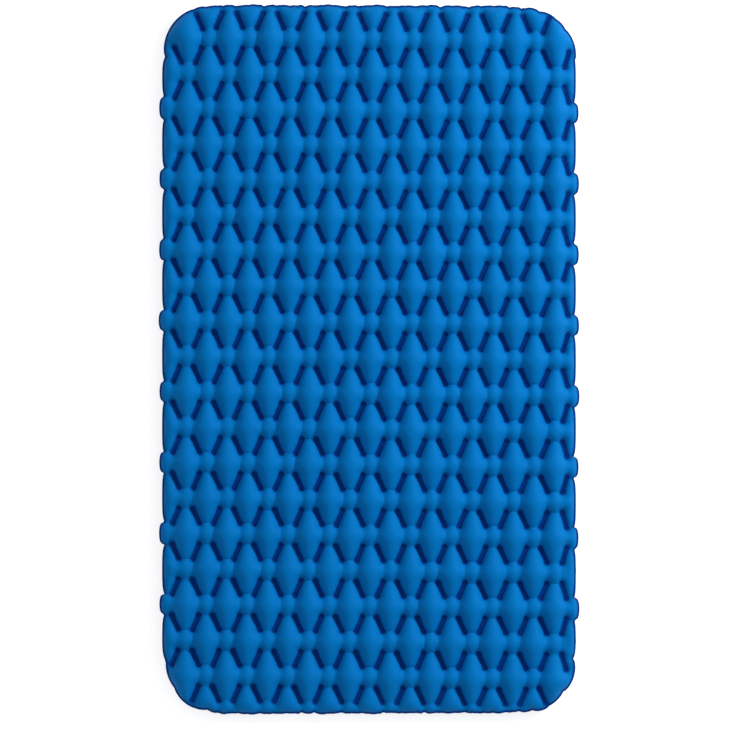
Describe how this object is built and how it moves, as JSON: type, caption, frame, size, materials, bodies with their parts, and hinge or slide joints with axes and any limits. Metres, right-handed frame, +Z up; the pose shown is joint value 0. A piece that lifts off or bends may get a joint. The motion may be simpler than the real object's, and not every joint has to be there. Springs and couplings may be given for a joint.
{
  "type": "air mattress",
  "caption": "Double inflatable sleeping pad whose sheets are welded in a diamond quilt pattern, with a capped inflation valve and a capped deflation valve under one side seam.",
  "frame": {"origin": "on the ground under the middle of the pad", "axes": "+X across the pad towards the side with the valves, +Y towards the head end, +Z up out of the sleeping face"},
  "size_m": [1.159, 1.978, 0.065],
  "materials": {
    "nylon_top": "satin",
    "nylon_bottom": "satin",
    "soft_plastic": "matte",
    "valve_plastic": "matte",
    "silicone": "satin",
    "seal_rubber": "satin"
  },
  "bodies": {
    "pad": {"top_sheet": "nylon_top", "bottom_sheet": "nylon_bottom", "inflate_flange": "soft_plastic", "inflate_body": "valve_plastic", "deflate_flange": "soft_plastic", "deflate_body": "valve_plastic"},
    "inflate_cap": {"inflate_cap": "valve_plastic", "inflate_cap_seal": "seal_rubber"},
    "deflate_cap": {"deflate_cap": "valve_plastic", "deflate_cap_seal": "seal_rubber"},
    "inflate_flap": {"inflate_flap": "silicone"}
  },
  "joints": [
    {"name": "inflate_cap_hinge", "type": "hinge", "parent": "pad", "child": "inflate_cap", "pos_m": [0.57561, -0.786, 0.02675], "axis": [0, -1, 0], "range_deg": [0, 130]},
    {"name": "deflate_cap_hinge", "type": "hinge", "parent": "pad", "child": "deflate_cap", "pos_m": [0.57561, -0.5895, 0.02675], "axis": [0, -1, 0], "range_deg": [0, 130]},
    {"name": "flap_hinge", "type": "hinge", "parent": "pad", "child": "inflate_flap", "pos_m": [0.5685, -0.786, 0.02765], "axis": [0, 1, 0], "range_deg": [0, 40]}
  ]
}
